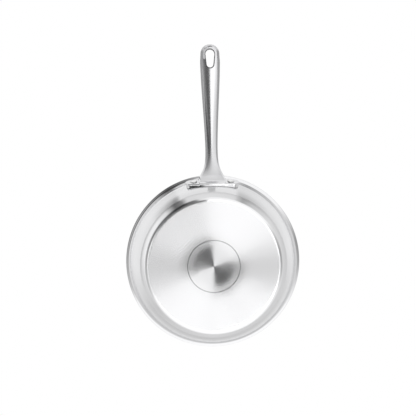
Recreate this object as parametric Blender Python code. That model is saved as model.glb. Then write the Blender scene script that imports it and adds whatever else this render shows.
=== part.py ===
"""A 24 cm frying pan: spun steel shell, bonded base with an aluminium core, riveted cast handle.

Metres, +Z up. The base stands on z = 0 with its centre at the origin, and the handle points
along +X. Profiles are (radius, height) pairs turned about Z.
"""

import math

import bmesh
import bpy
from mathutils import Matrix, Vector

# Clearance between pieces that touch
GAP = 0.0003

# Shell, one spun sheet
RIM_RADIUS = 0.125
PAN_HEIGHT = 0.048
SHELL_SHEET = 0.001
WALL_ANGLE = math.radians(69.4)
LOWER_WALL_ANGLE = math.radians(56.5)
KNEE_HEIGHT = 0.018
KNEE_BEND = 0.085
FLOOR_BEND = 0.008
LIP_WIDTH = 0.0053
LIP_ANGLE = math.radians(16)
LIP_BEND = 0.007

# Base, an aluminium core held by a steel cap
CORE_THICKNESS = 0.005
CAP_SHEET = 0.0007
CAP_INSET = 0.0067
CAP_BEND = 0.01

# Bracket that lies on the wall under the lip
BRACKET_BELOW_LIP = 0.0031
BRACKET_HEIGHT = 0.0225
BRACKET_LENGTH = 0.0745
BRACKET_THICKNESS = 0.0022
BRACKET_FACE_RADIUS = 0.27
BRACKET_END = 0.0078
BRACKET_ARCH = 0.0038
BRACKET_LEAN = 0.5
BOSS_RISE = 0.0009
BOSS_EDGE = 0.0006
BRACKET_EDGE = 0.0014

# Handle's centre line
HANDLE_LENGTH = 0.1865
HANDLE_RISE = 0.031
ROOT_BELOW_BRACKET_TOP = 0.002
ROOT_SLOPE = math.radians(20)
TIP_SLOPE = math.radians(5)

# Handle's widths, and where they lie along it
ROOT_WIDTH = 0.0365
FLARED_WIDTH = 0.043
NECK_WIDTH = 0.0175
NECK_FROM_RIM = 0.039
ROOT_FLARE = 3.4
GRIP_WIDTH = 0.0286
GRIP_FROM_TIP = 0.0265
TIP_WIDTH = 0.0272

# Handle's section: bevelled strip along each edge, crowned belly and top
ROOT_STRIP = 0.0015
NECK_STRIP = 0.0023
GRIP_STRIP = 0.0038
ROOT_BELOW = 0.0024
NECK_BELOW = 0.004
GRIP_BELOW = 0.0054
ROOT_ABOVE = 0.0019
NECK_ABOVE = 0.0038
GRIP_ABOVE = 0.0032
TIP_THINNING = 0.0012
STRIP_SLOPE = math.radians(46)
TOP_EDGE_SLOPE = math.radians(60)
ROOT_GUSSET = 0.011
GUSSET_POWER = 5
TOP_ROUNDNESS = 0.8
STRIP_WIDTH_LIMIT = 0.6
STRIP_DEPTH_LIMIT = 0.8

# Hanging hole
HOLE_WIDTH = 0.013
HOLE_LENGTH = 0.026
HOLE_NARROW_WIDTH = 0.0098
HOLE_FROM_TIP = 0.0076
HOLE_FLARE = 0.0017
HOLE_FLARE_DEPTH = 0.0018

# Rivets
RIVET_FROM_BRACKET_END = 0.01195
RIVET_BELOW_BRACKET_TOP = 0.0092
RIVET_SHANK_RADIUS = 0.0025
RIVET_HEAD_RADIUS = 0.0046
RIVET_HEAD_RISE = 0.002
RIVET_HEAD_EDGE = 0.0005
RIVET_SEAT_MARGIN = 0.0004

# Facets
PAN_STEPS = 96
RIVET_STEPS = 24
DOME_STEPS = 5
EDGE_STEPS = 4
BEND_STEP = math.radians(11)
BELLY_STEPS = 8
TOP_STEPS = 10
PLATE_STEPS = 4
BACK_STEPS = 5
EAR_STEPS = 5
EAR_START = math.radians(10)
FLARE_STEPS = 9
FLARE_CROWDING = 1.3
GRIP_STEPS = 10
TIP_STEPS = 10
EGG_STEPS = 10


def direction(angle):
    """Unit vector of a profile at an angle above the horizontal."""
    return Vector((math.cos(angle), math.sin(angle)))


def shell_corners():
    """Middle line of the shell's sheet, from the axis to the rim, with sharp corners."""
    half = SHELL_SHEET / 2
    floor_height = CAP_SHEET + GAP + CORE_THICKNESS + GAP + half
    rim = Vector((RIM_RADIUS - half, PAN_HEIGHT - half))
    lip = rim - direction(LIP_ANGLE) * (LIP_WIDTH / math.cos(LIP_ANGLE))
    knee = Vector((lip.x - (lip.y - KNEE_HEIGHT) / math.tan(WALL_ANGLE), KNEE_HEIGHT))
    floor = Vector((knee.x - (knee.y - floor_height) / math.tan(LOWER_WALL_ANGLE), floor_height))
    return [Vector((0, floor_height)), floor, knee, lip, rim]


def shell_radius(height):
    """Radius of the wall's outer face at a height above its knee."""
    lip = shell_corners()[3]
    return lip.x - (lip.y - height) / math.tan(WALL_ANGLE) + SHELL_SHEET / 2 / math.sin(WALL_ANGLE)


def cap_corners():
    """Middle line of the cap's sheet, whose side ends where it touches the shell's floor bend."""
    floor = shell_corners()[1]
    bend_centre = floor + Vector((-FLOOR_BEND * math.tan(LOWER_WALL_ANGLE / 2), FLOOR_BEND))
    clear_radius = FLOOR_BEND + SHELL_SHEET / 2 + GAP + CAP_SHEET / 2
    corner = Vector((floor.x - CAP_INSET, CAP_SHEET / 2))
    to_centre = bend_centre - corner
    side_angle = math.atan2(to_centre.y, to_centre.x) - math.asin(clear_radius / to_centre.length)
    side_length = math.sqrt(to_centre.length_squared - clear_radius ** 2)
    return [Vector((0, CAP_SHEET / 2)), corner, corner + direction(side_angle) * side_length]


def parallel(corners, distance):
    """Line beside another one, on its left, with mitred corners."""
    runs = [(b - a).normalized() for a, b in zip(corners, corners[1:])]
    lefts = [Vector((-run.y, run.x)) for run in runs]
    moved = [corners[0] + lefts[0] * distance]
    for corner, before, after in zip(corners[1:], lefts, lefts[1:]):
        mitre = (before + after) / (1 + before.dot(after))
        moved.append(corner + mitre * distance)
    moved.append(corners[-1] + lefts[-1] * distance)
    return moved


def rounded(corners, radii):
    """Line with each inner corner replaced by an arc of its own radius."""
    line = [corners[0]]
    for before, corner, after, radius in zip(corners, corners[1:], corners[2:], radii):
        into = (corner - before).normalized()
        out = (after - corner).normalized()
        turn = into.angle_signed(out)
        reach = radius * math.tan(abs(turn) / 2)
        start = corner - into * reach
        side = Vector((into.y, -into.x)) * math.copysign(radius, turn)
        steps = max(2, math.ceil(abs(turn) / BEND_STEP))
        for step in range(steps + 1):
            swing = Matrix.Rotation(-turn * step / steps, 2)
            line.append(start + side - swing @ side)
    line.append(corners[-1])
    return line


def arc(centre, start, sweep, steps):
    """Points on an arc about a centre, after its start and up to its end."""
    spoke = start - centre
    return [centre + Matrix.Rotation(sweep * step / steps, 2) @ spoke for step in range(1, steps + 1)]


def sheet_outline(corners, radii, thickness):
    """Outline of a bent sheet with a round free edge: its under side, the edge, its upper side."""
    half = thickness / 2
    turns = [(b - a).angle_signed(c - b) for a, b, c in zip(corners, corners[1:], corners[2:])]
    under = [radius - math.copysign(half, turn) for radius, turn in zip(radii, turns)]
    over = [radius + math.copysign(half, turn) for radius, turn in zip(radii, turns)]
    lower = rounded(parallel(corners, -half), under)
    upper = rounded(parallel(corners, half), over)
    edge = arc(corners[-1], lower[-1], math.pi, EDGE_STEPS)[:-1]
    return lower + edge + upper[::-1]


def metal(name, colour, roughness):
    """Plain metal material."""
    material = bpy.data.materials.new(name)
    material.use_nodes = True
    shader = material.node_tree.nodes["Principled BSDF"]
    shader.inputs["Base Color"].default_value = (*colour, 1)
    shader.inputs["Metallic"].default_value = 1
    shader.inputs["Roughness"].default_value = roughness
    return material


def solid(name, shape, material=None):
    """Object made from a closed shape, with faces out and shaded smooth."""
    bmesh.ops.remove_doubles(shape, verts=shape.verts, dist=1e-6)
    bmesh.ops.recalc_face_normals(shape, faces=shape.faces)
    mesh = bpy.data.meshes.new(name)
    shape.to_mesh(mesh)
    shape.free()
    mesh.shade_smooth()
    mesh.set_sharp_from_angle(angle=math.radians(30))
    if material:
        mesh.materials.append(material)
    made = bpy.data.objects.new(name, mesh)
    bpy.context.scene.collection.objects.link(made)
    return made


def turned(name, outline, steps, material=None):
    """Solid turned about Z from a profile that starts and ends on the axis."""
    shape = bmesh.new()
    points = [shape.verts.new((radius, 0, height)) for radius, height in outline]
    wire = [shape.edges.new(pair) for pair in zip(points, points[1:])]
    spun = points + wire
    bmesh.ops.spin(shape, geom=spun, axis=(0, 0, 1), angle=math.tau, steps=steps, use_merge=True)
    return solid(name, shape, material)


def lofted(name, rings, material=None):
    """Solid through rings of equally many points, closed at both ends."""
    shape = bmesh.new()
    loops = [[shape.verts.new(point) for point in ring] for ring in rings]
    for near, far in zip(loops, loops[1:]):
        for index in range(len(near)):
            after = (index + 1) % len(near)
            shape.faces.new((near[index], near[after], far[after], far[index]))
    shape.faces.new(loops[0][::-1])
    shape.faces.new(loops[-1])
    return solid(name, shape, material)


def tool(made):
    """Mark a solid as a shape that only joins or cuts another."""
    made.hide_render = True
    made.display_type = "WIRE"
    return made


def combine(target, other, operation):
    """Join to a solid, or cut from it, the shape of another."""
    modifier = target.modifiers.new(other.name, "BOOLEAN")
    modifier.operation = operation
    modifier.object = other


def make_pan_body():
    """Shell: floor, wall with a soft knee and pouring lip."""
    outline = sheet_outline(shell_corners(), [FLOOR_BEND, KNEE_BEND, LIP_BEND], SHELL_SHEET)
    return turned("pan_body", outline, PAN_STEPS, metal("shell_steel", (0.72, 0.72, 0.73), 0.28))


def make_base_cap():
    """Thin cap under the core: the flat that the pan stands on and a side that meets the shell."""
    outline = sheet_outline(cap_corners(), [CAP_BEND], CAP_SHEET)
    return turned("base_cap", outline, PAN_STEPS, metal("cap_steel", (0.70, 0.70, 0.71), 0.25))


def make_base_core():
    """Aluminium disc that fills the cap and ends under the shell's floor."""
    inset = CAP_SHEET / 2 + GAP
    centre, corner, side_end = parallel(cap_corners(), inset)
    side = (side_end - corner).normalized()
    top_corner = corner + side * (CORE_THICKNESS / side.y)
    outline = rounded([centre, corner, top_corner], [CAP_BEND - inset])
    outline.append(Vector((0, top_corner.y)))
    return turned("base_core", outline, PAN_STEPS, metal("core_aluminium", (0.80, 0.80, 0.81), 0.40))


def bracket_top():
    """Height of the bracket's upper edge on the wall."""
    return shell_corners()[3].y - BRACKET_BELOW_LIP


def wall_rise(height):
    """How far the wall's outer face lies off its straight line: out in the lip's roll, in at the knee."""
    half = SHELL_SHEET / 2
    roll_reach = LIP_BEND * math.tan((WALL_ANGLE - LIP_ANGLE) / 2)
    knee_reach = KNEE_BEND * math.tan((WALL_ANGLE - LOWER_WALL_ANGLE) / 2)
    roll_start = shell_corners()[3].y - roll_reach * math.sin(WALL_ANGLE) - half * math.cos(WALL_ANGLE)
    knee_start = KNEE_HEIGHT + knee_reach * math.sin(WALL_ANGLE) - half * math.cos(WALL_ANGLE)
    above = max(0, height - roll_start) / math.sin(WALL_ANGLE)
    below = max(0, knee_start - height) / math.sin(WALL_ANGLE)
    roll, knee = LIP_BEND - half, KNEE_BEND + half
    return roll - math.sqrt(roll ** 2 - above ** 2) - knee + math.sqrt(knee ** 2 - below ** 2)


def bracket_radius():
    """Radius of the wall's outer face at the bracket's middle height."""
    return shell_radius(bracket_top() - BRACKET_HEIGHT / 2 * math.sin(WALL_ANGLE))


def bracket_face(across):
    """Distance of the ears' outer face, which is flatter than the wall, from the wall's straight line."""
    return GAP + BRACKET_THICKNESS + across ** 2 / 2 * (1 / bracket_radius() - 1 / BRACKET_FACE_RADIUS)


def on_wall(across, down, outward):
    """Point by its arc length from the handle's plane, its way down the wall and its distance off it."""
    height = bracket_top() - down * math.sin(WALL_ANGLE)
    angle = across / bracket_radius()
    radius = shell_radius(height) + outward * math.sin(WALL_ANGLE)
    height -= outward * math.cos(WALL_ANGLE)
    return Vector((radius * math.cos(angle), radius * math.sin(angle), height))


def make_bracket():
    """Plate with two round ears, a boss between them and an arched lower edge; its back follows the wall."""
    straight = BRACKET_LENGTH / 2 - BRACKET_END
    boss = ROOT_WIDTH / 2
    right = []
    for step in range(EAR_STEPS + 1):
        turn = EAR_START + (math.pi / 2 - EAR_START) * step / EAR_STEPS
        right.append((straight + BRACKET_END * math.cos(turn), BRACKET_END * (1 - math.sin(turn)), 0))
    right += [(boss + (straight - boss) / 2, 0, 0), (boss + BOSS_EDGE, 0, 0)]
    right += [(boss * step / PLATE_STEPS, 0, BOSS_RISE) for step in range(PLATE_STEPS, 0, -1)]
    left = [(-across, trim, rise) for across, trim, rise in reversed(right)]
    rings = []
    for across, trim, rise in right + [(0, 0, BOSS_RISE)] + left:
        face = bracket_face(across) + rise
        bottom = BRACKET_HEIGHT - trim - BRACKET_ARCH * min(1, abs(across) / straight) ** 2
        middle, reach = (bottom + trim) / 2, (bottom - trim) / 2
        edge = min(BRACKET_EDGE, reach / 2)
        lean = min(BRACKET_LEAN * (face - GAP), reach / 2)
        profile = [(reach - lean, face - edge), (reach - edge - lean, face)]
        profile += [(edge - reach, face), (-reach, face - edge)]
        for step in range(BACK_STEPS + 1):
            down = reach * (2 * step / BACK_STEPS - 1)
            height = bracket_top() - (middle + down) * math.sin(WALL_ANGLE)
            profile.append((down, GAP + wall_rise(height)))
        rings.append([on_wall(across, middle + down, outward) for down, outward in profile])
    return tool(lofted("bracket", rings))


def between(start, end, share, ends_slope=0.5):
    """Value on an eased way from one to another, with less ease for a larger slope at its ends."""
    eased = share * share * (3 - 2 * share)
    return start + (end - start) * (eased + (share - eased) * ends_slope)


def handle_root():
    """Point in the middle of the bracket's thickness where the centre line starts."""
    point = on_wall(0, ROOT_BELOW_BRACKET_TOP, GAP + BRACKET_THICKNESS / 2)
    return Vector((point.x, point.z))


def tip_distance():
    """Distance of the handle's tip from the pan's axis."""
    return RIM_RADIUS + HANDLE_LENGTH


def centre_line(distance):
    """Height and slope of the handle's centre line at a distance from the pan's axis."""
    root = handle_root()
    tip_height = PAN_HEIGHT + HANDLE_RISE
    span = tip_distance() - root.x
    share = (distance - root.x) / span
    rise = tip_height - root.y
    start, end = math.tan(ROOT_SLOPE) * span, math.tan(TIP_SLOPE) * span
    eased = share * share * (3 - 2 * share)
    height = root.y + rise * eased + start * share * (1 - share) ** 2 - end * share ** 2 * (1 - share)
    slope = rise * 6 * share * (1 - share) + start * (1 - share) * (1 - 3 * share)
    slope += end * share * (3 * share - 2)
    return height, slope / span


def along_handle(distance, root, neck, grip):
    """Size at a distance from the pan's axis, given at the root, the neck and the grip."""
    neck_at = RIM_RADIUS + NECK_FROM_RIM
    grip_at = tip_distance() - GRIP_FROM_TIP
    root_at = handle_root().x
    if distance < neck_at:
        share = (neck_at - distance) / (neck_at - root_at)
        return neck + (root - neck) * share ** ROOT_FLARE
    return between(neck, grip, min(1, (distance - neck_at) / (grip_at - neck_at)))


def half_width(distance):
    """Half of the handle's width, with a round tip and a root as wide as the bracket's boss."""
    from_tip = tip_distance() - distance
    radius = TIP_WIDTH / 2
    if from_tip < radius:
        return math.sqrt(max(0, radius ** 2 - (radius - from_tip) ** 2))
    if from_tip < GRIP_FROM_TIP:
        return between(TIP_WIDTH, GRIP_WIDTH, (from_tip - radius) / (GRIP_FROM_TIP - radius), 0) / 2
    return min(ROOT_WIDTH, along_handle(distance, FLARED_WIDTH, NECK_WIDTH, GRIP_WIDTH)) / 2


def gusset(distance):
    """How far the belly is drawn down the wall where the root spreads onto the bracket."""
    neck_at = RIM_RADIUS + NECK_FROM_RIM
    share = max(0, (neck_at - distance) / (neck_at - handle_root().x))
    return ROOT_GUSSET * share ** GUSSET_POWER


def handle_profile(distance):
    """Section across the handle: (across, up, drawn down the wall) of the points round it."""
    wide = half_width(distance)
    from_tip = tip_distance() - distance
    thinning = TIP_THINNING * max(0, 1 - from_tip / GRIP_FROM_TIP)
    below = along_handle(distance, ROOT_BELOW, NECK_BELOW, GRIP_BELOW) - thinning
    above = along_handle(distance, ROOT_ABOVE, NECK_ABOVE, GRIP_ABOVE) - thinning
    below = min(below, from_tip * math.tan(STRIP_SLOPE))
    above = min(above, from_tip * math.tan(TOP_EDGE_SLOPE))
    strip = min(along_handle(distance, ROOT_STRIP, NECK_STRIP, GRIP_STRIP), wide * STRIP_WIDTH_LIMIT)
    drop = min(strip * math.tan(STRIP_SLOPE), below * STRIP_DEPTH_LIMIT)
    belly = wide - strip
    drawn = gusset(distance)
    profile = [(wide, 0, 0)]
    for step in range(BELLY_STEPS + 1):
        share = math.cos(math.pi * step / BELLY_STEPS)
        profile.append((belly * share, -drop - (below - drop) * (1 - share ** 2), drawn))
    profile.append((-wide, 0, 0))
    for step in range(1, TOP_STEPS):
        angle = math.pi * step / TOP_STEPS
        profile.append((-wide * math.cos(angle), above * math.sin(angle) ** TOP_ROUNDNESS, 0))
    return profile


def handle_point(distance, across, up, drawn=0):
    """Point off the centre line, square to it, and drawn down along the wall."""
    height, slope = centre_line(distance)
    length = math.hypot(1, slope)
    forward = distance - up * slope / length - drawn * math.cos(WALL_ANGLE)
    return Vector((forward, across, height + up / length - drawn * math.sin(WALL_ANGLE)))


def root_point(across, up, drawn):
    """Point of the handle's root, in the middle of the bracket's thickness."""
    down = ROOT_BELOW_BRACKET_TOP - up / math.sin(WALL_ANGLE) + drawn
    return on_wall(across, down, GAP + BRACKET_THICKNESS / 2)


def make_handle():
    """Casting: grip and neck, joined to the bracket."""
    root_at = handle_root().x
    neck_at = RIM_RADIUS + NECK_FROM_RIM
    radius = TIP_WIDTH / 2
    tip_at = tip_distance()
    face_at = root_at + BRACKET_THICKNESS / 2
    round_at = tip_at - radius
    stations = []
    for step in range(FLARE_STEPS):
        stations.append(face_at + (neck_at - face_at) * (step / FLARE_STEPS) ** FLARE_CROWDING)
    stations += [neck_at + (round_at - neck_at) * step / GRIP_STEPS for step in range(GRIP_STEPS)]
    stations += [round_at + radius * math.sin(math.pi / 2 * step / TIP_STEPS) for step in range(TIP_STEPS)]
    rings = [[root_point(*point) for point in handle_profile(root_at)]]
    for distance in stations:
        rings.append([handle_point(distance, *point) for point in handle_profile(distance)])
    made = lofted("handle", rings, metal("handle_steel", (0.66, 0.66, 0.67), 0.35))
    combine(made, make_bracket(), "UNION")
    return made


def egg(widen):
    """Outline of the hanging hole as (distance, across) points, its wide end towards the tip."""
    wide, narrow = HOLE_WIDTH / 2, HOLE_NARROW_WIDTH / 2
    wide_at = tip_distance() - HOLE_FROM_TIP - wide
    narrow_at = tip_distance() - HOLE_FROM_TIP - HOLE_LENGTH + narrow
    turn = math.pi / 2 + math.asin((wide - narrow) / (wide_at - narrow_at))
    points = []
    for centre, radius, first, last in (
        (wide_at, wide + widen, -turn, turn),
        (narrow_at, narrow + widen, turn, math.tau - turn),
    ):
        for step in range(EGG_STEPS + 1):
            angle = first + (last - first) * step / EGG_STEPS
            points.append((centre + radius * math.cos(angle), radius * math.sin(angle)))
    return points


def cut_hanging_hole(handle):
    """Hole through the grip's end, flared at both faces."""
    middle = tip_distance() - HOLE_FROM_TIP - HOLE_LENGTH / 2
    profile = handle_profile(middle)
    below = min(up for across, up, drawn in profile)
    above = max(up for across, up, drawn in profile)
    levels = [
        (below - HOLE_FLARE_DEPTH, 2 * HOLE_FLARE), (below + HOLE_FLARE_DEPTH, 0),
        (above - HOLE_FLARE_DEPTH, 0), (above + HOLE_FLARE_DEPTH, 2 * HOLE_FLARE),
    ]
    rings = []
    for up, widen in levels:
        rings.append([handle_point(distance, across, up) for distance, across in egg(widen)])
    combine(handle, tool(lofted("hanging_hole", rings)), "DIFFERENCE")


def rivet_place(side):
    """Frame on the wall's outer face at a rivet, its Z along the wall's normal."""
    across = side * (BRACKET_LENGTH / 2 - RIVET_FROM_BRACKET_END)
    origin = on_wall(across, RIVET_BELOW_BRACKET_TOP, 0)
    normal = (on_wall(across, RIVET_BELOW_BRACKET_TOP, 1) - origin).normalized()
    turn = Vector((0, 0, 1)).rotation_difference(normal)
    return Matrix.Translation(origin) @ turn.to_matrix().to_4x4()


def head_outline(seat, rise):
    """Domed head over its seat, from its rim to the axis; a negative rise points it inwards."""
    edge = math.copysign(RIVET_HEAD_EDGE, rise)
    points = [Vector((RIVET_HEAD_RADIUS, seat)), Vector((RIVET_HEAD_RADIUS, seat + edge))]
    for step in range(1, DOME_STEPS):
        angle = math.pi / 2 * step / DOME_STEPS
        height = seat + edge + (rise - edge) * math.sin(angle)
        points.append(Vector((RIVET_HEAD_RADIUS * math.cos(angle), height)))
    points.append(Vector((0, seat + rise)))
    return points


def outer_seat():
    """Distance of the outer heads' flat seats, sunk where the ears' face is lowest, from the wall's line."""
    across = BRACKET_LENGTH / 2 - RIVET_FROM_BRACKET_END
    return bracket_face(across - RIVET_HEAD_RADIUS - RIVET_SEAT_MARGIN)


def make_rivet(name, side, material, drilled):
    """Rivet through the wall and the bracket, with the hole for it in both and its head's seat."""
    inner_seat = -SHELL_SHEET - GAP
    seat = outer_seat()
    inner = head_outline(inner_seat, -RIVET_HEAD_RISE)
    outer = head_outline(seat + GAP, RIVET_HEAD_RISE)
    shank = [Vector((RIVET_SHANK_RADIUS, inner_seat)), Vector((RIVET_SHANK_RADIUS, seat + GAP))]
    made = turned(name, inner[::-1] + shank + outer, RIVET_STEPS, material)
    made.matrix_world = rivet_place(side)
    bore, wide = RIVET_SHANK_RADIUS + GAP, RIVET_HEAD_RADIUS + RIVET_SEAT_MARGIN
    low, high = inner_seat - RIVET_HEAD_RISE, seat + 2 * RIVET_HEAD_RISE
    outline = [(0, low), (bore, low), (bore, seat), (wide, seat), (wide, high), (0, high)]
    drill = tool(turned(name + "_hole", outline, RIVET_STEPS))
    drill.matrix_world = rivet_place(side)
    for target in drilled:
        combine(target, drill, "DIFFERENCE")


def main():
    """Build every piece."""
    for old in list(bpy.data.objects):
        bpy.data.objects.remove(old)
    body = make_pan_body()
    make_base_core()
    make_base_cap()
    handle = make_handle()
    cut_hanging_hole(handle)
    rivet_steel = metal("rivet_steel", (0.74, 0.74, 0.75), 0.18)
    for name, side in (("rivet_left", -1), ("rivet_right", 1)):
        make_rivet(name, side, rivet_steel, (body, handle))


main()
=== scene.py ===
"""A 24 cm steel frying pan on a pale floor, photographed from below.

The finish of every surface: a spun shell and base with concentric brushing, a cast handle with
lengthwise brushing and polished rivets. Metres, +Z up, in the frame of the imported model.
"""

import math

import bmesh
import bpy
from mathutils import Matrix, Vector


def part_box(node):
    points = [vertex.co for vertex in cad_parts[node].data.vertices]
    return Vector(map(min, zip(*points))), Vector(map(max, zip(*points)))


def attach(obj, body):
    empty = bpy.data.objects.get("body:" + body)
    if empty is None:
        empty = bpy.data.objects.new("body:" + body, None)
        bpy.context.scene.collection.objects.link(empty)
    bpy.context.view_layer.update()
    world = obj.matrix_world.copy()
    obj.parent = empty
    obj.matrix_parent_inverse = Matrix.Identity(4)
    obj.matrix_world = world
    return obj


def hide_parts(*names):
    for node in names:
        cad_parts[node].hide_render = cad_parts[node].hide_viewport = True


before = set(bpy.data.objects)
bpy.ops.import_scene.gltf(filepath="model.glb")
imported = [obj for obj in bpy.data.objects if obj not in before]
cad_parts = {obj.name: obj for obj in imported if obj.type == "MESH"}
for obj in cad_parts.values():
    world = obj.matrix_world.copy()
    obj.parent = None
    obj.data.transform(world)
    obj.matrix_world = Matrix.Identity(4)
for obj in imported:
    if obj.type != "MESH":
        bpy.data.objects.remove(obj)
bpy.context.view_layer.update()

# Main sizes, the pan's height and the handle's reach read from the frame
RIM_RADIUS = 0.125
PAN_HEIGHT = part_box("pan_body")[1].z
HANDLE_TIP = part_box("handle")[1].x
GAP = 0.0003

# Shell sheet
SHELL_SHEET = 0.001
WALL_ANGLE = math.radians(69.4)
LOWER_WALL_ANGLE = math.radians(56.5)
KNEE_HEIGHT = 0.018
KNEE_BEND = 0.085
FLOOR_BEND = 0.008
LIP_WIDTH = 0.0053
LIP_ANGLE = math.radians(16)
LIP_BEND = 0.007

# Base
CORE_THICKNESS = 0.005
CAP_SHEET = 0.0007
CAP_INSET = 0.0067
CAP_BEND = 0.01
RING_RADIUS = 0.0368
RING_WIDTH = 0.0006
RING_DEPTH = 0.00018
# Share of the base's colour left in the ring line's groove: painted shade in the groove
RING_SHADE = 0.4

# Bracket
BRACKET_BELOW_LIP = 0.0031
BRACKET_HEIGHT = 0.0225
BRACKET_LENGTH = 0.0745
BRACKET_THICKNESS = 0.0022
BRACKET_FACE_RADIUS = 0.27
BRACKET_END = 0.0078
BRACKET_ARCH = 0.0038
BRACKET_LEAN = 0.5
BOSS_RISE = 0.0009
BOSS_EDGE = 0.0006
BRACKET_ROUND = 0.002

# Handle's centre line
HANDLE_RISE = 0.031
ROOT_BELOW_BRACKET_TOP = 0.002
ROOT_SLOPE = math.radians(20)
TIP_SLOPE = math.radians(5)

# Handle's widths, and where they lie along it
ROOT_WIDTH = 0.0365
FLARED_WIDTH = 0.043
NECK_WIDTH = 0.0175
NECK_FROM_RIM = 0.039
ROOT_FLARE = 3.4
GRIP_WIDTH = 0.0286
GRIP_FROM_TIP = 0.0265
TIP_WIDTH = 0.0272

# Handle's section: bevelled strip along each edge, crowned belly and top
ROOT_STRIP = 0.0015
NECK_STRIP = 0.0023
GRIP_STRIP = 0.0038
ROOT_BELOW = 0.0024
NECK_BELOW = 0.004
GRIP_BELOW = 0.0054
ROOT_ABOVE = 0.0019
NECK_ABOVE = 0.0038
GRIP_ABOVE = 0.0032
TIP_THINNING = 0.0012
STRIP_SLOPE = math.radians(46)
TOP_EDGE_SLOPE = math.radians(60)
ROOT_GUSSET = 0.011
GUSSET_POWER = 5
TOP_ROUNDNESS = 0.8
STRIP_WIDTH_LIMIT = 0.6
STRIP_DEPTH_LIMIT = 0.8

# Hanging hole
HOLE_WIDTH = 0.013
HOLE_LENGTH = 0.026
HOLE_NARROW_WIDTH = 0.0098
HOLE_FROM_TIP = 0.0076
HOLE_FLARE = 0.0017
HOLE_FLARE_DEPTH = 0.0018
HOLE_ROUND = 0.0005

# Rivets
RIVET_FROM_BRACKET_END = 0.01195
RIVET_BELOW_BRACKET_TOP = 0.0092
RIVET_SHANK_RADIUS = 0.0025
RIVET_HEAD_RADIUS = 0.0046
RIVET_HEAD_RISE = 0.002
RIVET_HEAD_EDGE = 0.0005
RIVET_SEAT_MARGIN = 0.0004

# How finely the surfaces are divided, which points are one and which edges are sharp
TURN_STEPS = 384
RIVET_STEPS = 64
DOME_STEPS = 14
EDGE_STEPS = 10
BEND_STEP = math.radians(3)
BELLY_STEPS = 40
TOP_STEPS = 36
STRIP_STEPS = 4
PLATE_STEPS = 30
EAR_PLATE_STEPS = 10
BACK_STEPS = 16
EAR_STEPS = 14
EAR_START = math.radians(4)
ROUND_STEPS = 5
FLARE_STEPS = 26
FLARE_CROWDING = 1.3
GRIP_STEPS = 60
TIP_STEPS = 28
EGG_STEPS = 40
LONGEST_RUN = 0.006
FACE_SHARES = (0.25, 0.5, 0.75)
SAME_PLACE = 1e-7
SHARP_ANGLE = math.radians(30)

# Camera: it looks up at the base from a little beyond the handle's middle
CAMERA_PLACE = Vector((0.2321, -0.04484, -1.43526))
CAMERA_FORWARD = Vector((-0.10377, 0.02594, 0.99426))
CAMERA_UP = Vector((0.99453, 0.01483, 0.10341))
CAMERA_LENS = 89.93
CAMERA_SENSOR = 36
CAMERA_REACH = 50

# Colours of the spun pieces
SHELL_COLOUR = (0.88, 0.88, 0.89)
BASE_COLOUR = (0.92, 0.92, 0.93)
CORE_COLOUR = (0.8, 0.8, 0.81)

# Spun finish as (distance from the axis, roughness): polished at the centre, the corner and the lip
BASE_ZONES = [(0.019, 0.06), (0.034, 0.155), (0.057, 0.26), (0.09, 0.26), (0.094, 0.1)]
SHELL_ZONES = [(RIM_RADIUS - 0.0095, 0.17), (RIM_RADIUS - 0.0078, 0.07)]
CORE_ZONES = [(0, 0.4)]

# How far highlights stretch across the brushing, from 0 to 1, and the turn that lays them so
SHELL_STRETCH = 0.8
BASE_STRETCH = 1.0
CORE_STRETCH = 0.5
HANDLE_STRETCH = 0.4
QUARTER_TURN = 0.25

# Brushed lines: density, strength, unevenness in roughness, and the wide rings' place in the noise
LINE_DEPTH = 0.00004
RING_DENSITY = 900
RING_STRENGTH = 0.12
RING_UNEVEN = 0.1
WIDE_RING_DENSITY = 130
WIDE_RING_UNEVEN = 0.08
WIDE_RING_PLACE = 3
LINE_DENSITY = 1500
LINE_LENGTHENING = 0.02
LINE_STRENGTH = 0.15
LINE_UNEVEN = 0.1
WEAR_DENSITY = 700
WEAR_UNEVEN = 0.1

# Handle's finishes as (tone, roughness), and how much bluer than grey its tone is
HANDLE_BLUENESS = 1.015
BELLY_FINISH = (0.72, 0.16)
ROOT_FINISH = (0.8, 0.36)
BRACKET_FINISH = (0.82, 0.15)
# The strips' tone is painted shade: steep faces darkened
STRIP_FINISH_AND_SHADE = (0.47, 0.28)
TIP_FINISH = (0.9, 0.5)
# The hole's tone is painted shade in its bore
HOLE_FINISH_AND_SHADE = (0.2, 0.4)

# Where the handle's finishes start and end along it, and round its hole
ROOT_END = (RIM_RADIUS + 0.012, RIM_RADIUS + 0.047)
BRACKET_REACH = (RIM_RADIUS - 0.0025, RIM_RADIUS + 0.0015)
STRIPS_START = (RIM_RADIUS + 0.01, RIM_RADIUS + 0.025)
TIP_START = (HANDLE_TIP - 0.01035, HANDLE_TIP - 0.00585)
HOLE_REACH = (HOLE_LENGTH / 2 + 0.0055, HOLE_WIDTH / 2 + 0.003)

# Tip's finish drawn on round the hole: out to how many times its reach, and by what length
HOLE_SATIN = 1.2
HOLE_TIP_EXTRA = 0.013

# How level a face is, from 0 to 1, where the finish and painted shade of steep faces fade out
STRIP_LEVEL = (0.72, 0.84)
HEAD_LEVEL = (0.7, 0.9)

# Rivets' finish
RIVET_TONE = 0.9
# Tone down the steep side of a head: painted shade
RIVET_SIDE_SHADE = 0.4
RIVET_ROUGHNESS = 0.1

# Floor
FLOOR_SIDE = 30
FLOOR_BELOW = 0.0006
FLOOR_COLOUR = (0.9, 0.9, 0.9)

# Studio below the pan: where its panels meet, and how far off one ring of them fades to the next
MEETING = (-0.155, 0.03)
NEAR_EDGE = 0.15
MIDDLE_EDGE = 0.24
FAR_EDGE = 0.34

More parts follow.
